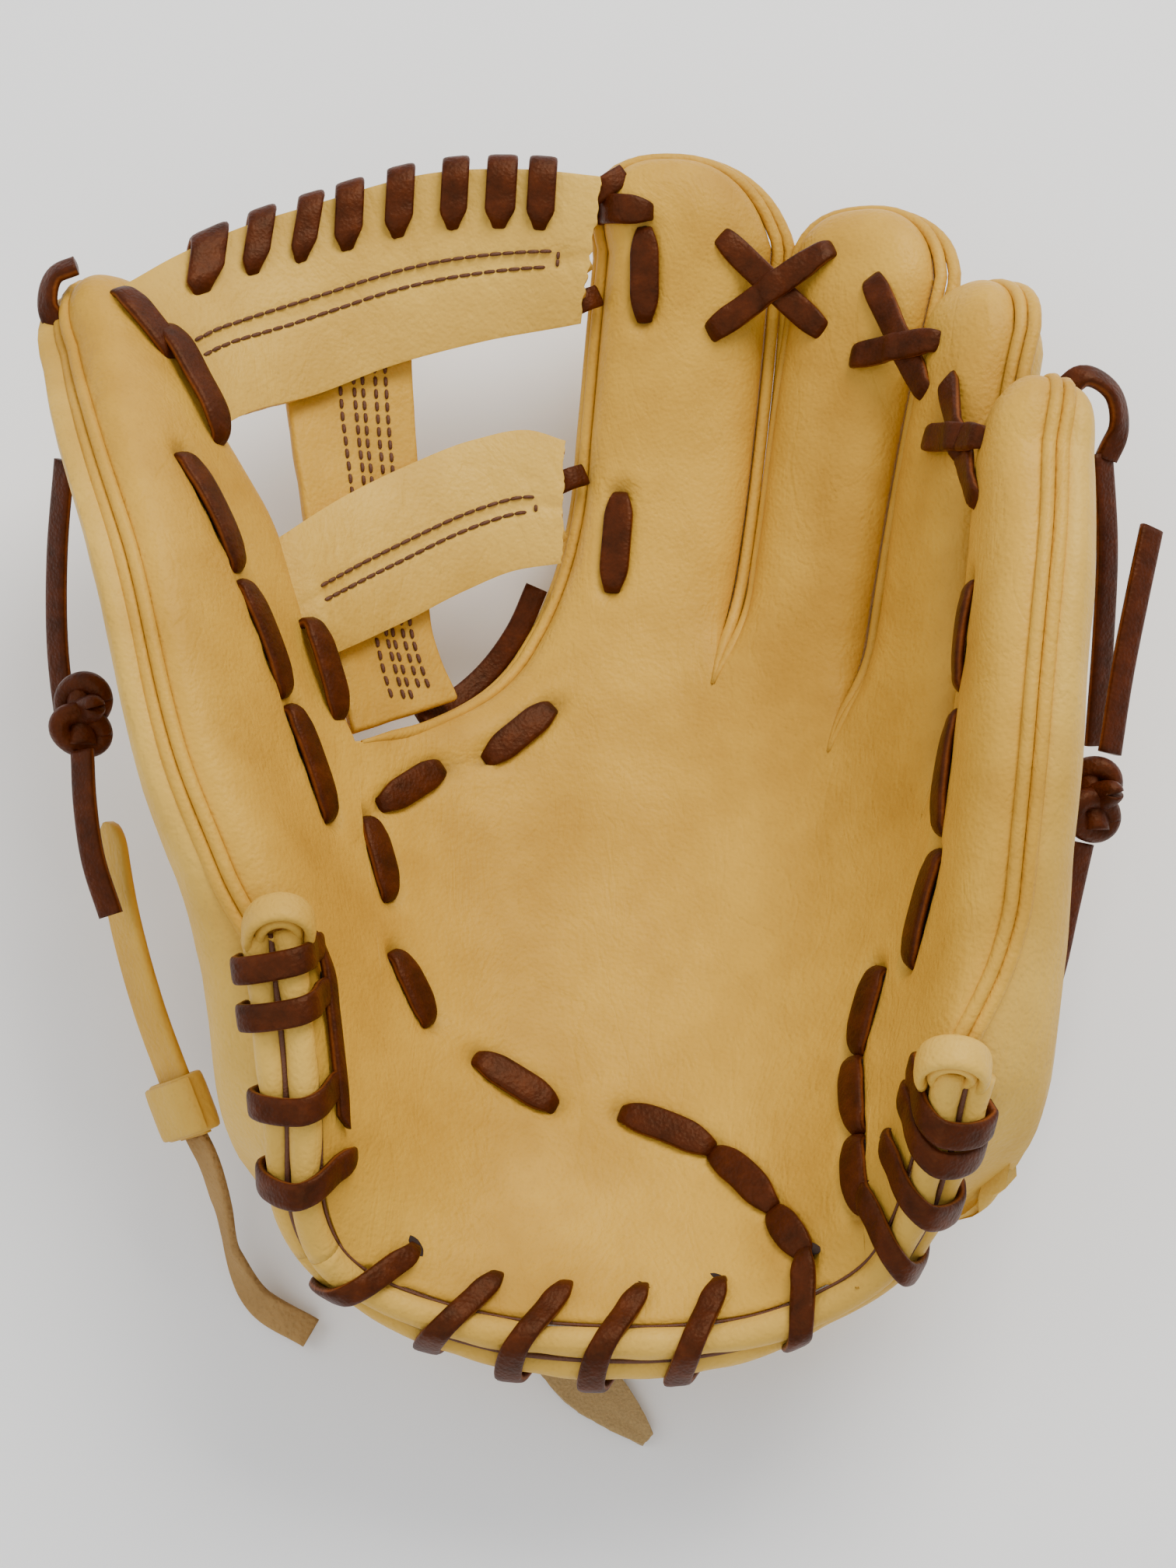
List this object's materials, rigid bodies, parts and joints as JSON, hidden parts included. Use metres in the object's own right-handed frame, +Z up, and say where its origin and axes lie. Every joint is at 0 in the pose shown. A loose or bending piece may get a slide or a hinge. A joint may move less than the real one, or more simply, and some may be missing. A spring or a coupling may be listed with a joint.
{
  "type": "baseball glove",
  "caption": "Leather baseball fielding glove lying palm up, with a laced two-bar web, a padded laced heel, and thumb and little finger sides that fold.",
  "frame": {"origin": "middle of the glove's outline, on the ground that its back rests on", "axes": "+Y along the glove towards the fingertips, +X towards the little finger, +Z up out of the pocket"},
  "size_m": [0.2584, 0.3114, 0.1109],
  "materials": {
    "hang_tag": "full grain, tan",
    "heel_lace_centre": "waxed rawhide, dark brown",
    "heel_lace_pinky": "waxed rawhide, dark brown",
    "heel_lace_thumb": "waxed rawhide, dark brown",
    "heel_roll_lower_centre": "full grain, tan",
    "heel_roll_lower_pinky": "full grain, tan",
    "heel_roll_lower_thumb": "full grain, tan",
    "heel_roll_upper_centre": "full grain, tan",
    "heel_roll_upper_pinky": "full grain, tan",
    "heel_roll_upper_thumb": "full grain, tan",
    "index_back": "full grain, tan",
    "index_middle_lace": "waxed rawhide, dark brown",
    "index_pad": "felt",
    "index_welt": "full grain, tan",
    "middle_back": "full grain, tan",
    "middle_pad": "felt",
    "middle_ring_lace": "waxed rawhide, dark brown",
    "middle_welt": "full grain, tan",
    "palm_chain_lace": "waxed rawhide, dark brown",
    "palm_lace": "waxed rawhide, dark brown",
    "palm_lining": "suede",
    "palm_pad": "felt",
    "palm_shell": "full grain, tan",
    "pinky_back": "full grain, tan",
    "pinky_front": "full grain, tan",
    "pinky_knot": "waxed rawhide, dark brown",
    "pinky_pad": "felt",
    "pinky_stall_lace": "waxed rawhide, dark brown",
    "pinky_stay": "black",
    "pinky_tail_down": "waxed rawhide, dark brown",
    "pinky_tail_long": "waxed rawhide, dark brown",
    "pinky_tail_up": "waxed rawhide, dark brown",
    "pinky_welt": "full grain, tan",
    "pull_strap": "full grain, tan",
    "ring_back": "full grain, tan",
    "ring_pad": "felt",
    "ring_pinky_lace": "waxed rawhide, dark brown",
    "ring_welt": "full grain, tan",
    "strap_keeper": "full grain, tan",
    "strap_tail": "full grain, tan",
    "tag_cord": "black",
    "thumb_back": "full grain, tan",
    "thumb_front": "full grain, tan",
    "thumb_knot": "waxed rawhide, dark brown",
    "thumb_pad": "felt",
    "thumb_stall_lace": "waxed rawhide, dark brown",
    "thumb_stay": "black",
    "thumb_tail_long": "waxed rawhide, dark brown",
    "thumb_tail_short": "waxed rawhide, dark brown",
    "thumb_welt": "full grain, tan",
    "top_bar_lace": "waxed rawhide, dark brown",
    "web_index_lace": "waxed rawhide, dark brown",
    "web_middle_bar": "full grain, tan",
    "web_post": "full grain, tan",
    "web_top_bar": "full grain, tan",
    "wrist_fleece": "felt",
    "wrist_strap": "full grain, tan"
  },
  "bodies": {
    "palm": {"heel_lace_centre": "heel_lace_centre", "heel_roll_lower_centre": "heel_roll_lower_centre", "heel_roll_upper_centre": "heel_roll_upper_centre", "index_back": "index_back", "index_middle_lace": "index_middle_lace", "index_pad": "index_pad", "index_welt": "index_welt", "middle_back": "middle_back", "middle_pad": "middle_pad", "middle_ring_lace": "middle_ring_lace", "middle_welt": "middle_welt", "palm_chain_lace": "palm_chain_lace", "palm_lace": "palm_lace", "palm_lining": "palm_lining", "palm_pad": "palm_pad", "palm_shell": "palm_shell", "ring_back": "ring_back", "ring_pad": "ring_pad", "ring_pinky_lace": "ring_pinky_lace", "ring_welt": "ring_welt", "top_bar_lace": "top_bar_lace", "web_index_lace": "web_index_lace", "web_middle_bar": "web_middle_bar", "web_post": "web_post", "web_top_bar": "web_top_bar", "wrist_fleece": "wrist_fleece", "wrist_strap": "wrist_strap"},
    "thumb": {"heel_lace_thumb": "heel_lace_thumb", "heel_roll_lower_thumb": "heel_roll_lower_thumb", "heel_roll_upper_thumb": "heel_roll_upper_thumb", "pull_strap": "pull_strap", "strap_tail": "strap_tail", "thumb_back": "thumb_back", "thumb_front": "thumb_front", "thumb_knot": "thumb_knot", "thumb_pad": "thumb_pad", "thumb_stall_lace": "thumb_stall_lace", "thumb_stay": "thumb_stay", "thumb_tail_long": "thumb_tail_long", "thumb_tail_short": "thumb_tail_short", "thumb_welt": "thumb_welt"},
    "pinky": {"heel_lace_pinky": "heel_lace_pinky", "heel_roll_lower_pinky": "heel_roll_lower_pinky", "heel_roll_upper_pinky": "heel_roll_upper_pinky", "pinky_back": "pinky_back", "pinky_front": "pinky_front", "pinky_knot": "pinky_knot", "pinky_pad": "pinky_pad", "pinky_stall_lace": "pinky_stall_lace", "pinky_stay": "pinky_stay", "pinky_tail_down": "pinky_tail_down", "pinky_tail_long": "pinky_tail_long", "pinky_tail_up": "pinky_tail_up", "pinky_welt": "pinky_welt"},
    "keeper": {"strap_keeper": "strap_keeper"},
    "tag": {"hang_tag": "hang_tag", "tag_cord": "tag_cord"}
  },
  "joints": [
    {"name": "thumb_fold", "type": "hinge", "parent": "palm", "child": "thumb", "pos_m": [-0.03996, -0.12324, 0.06332], "axis": [-0.0566, 0.9951, -0.0813], "range_deg": [0, 20], "deforming": ["web_top_bar", "web_middle_bar", "web_post", "top_bar_lace"]},
    {"name": "pinky_fold", "type": "hinge", "parent": "palm", "child": "pinky", "pos_m": [0.05634, -0.12097, 0.06468], "axis": [-0.1707, -0.9852, -0.0178], "range_deg": [0, 12], "deforming": ["ring_pinky_lace"]},
    {"name": "keeper_slide", "type": "slide", "parent": "thumb", "child": "keeper", "axis": [-0.3592, 0.895, 0.2644], "range_m": [0, 0.01]},
    {"name": "tag_swing", "type": "hinge", "parent": "palm", "child": "tag", "pos_m": [-0.01288, -0.12554, 0.0025], "axis": [-0.7413, -0.6712, 0], "range_deg": [0, 6]}
  ]
}
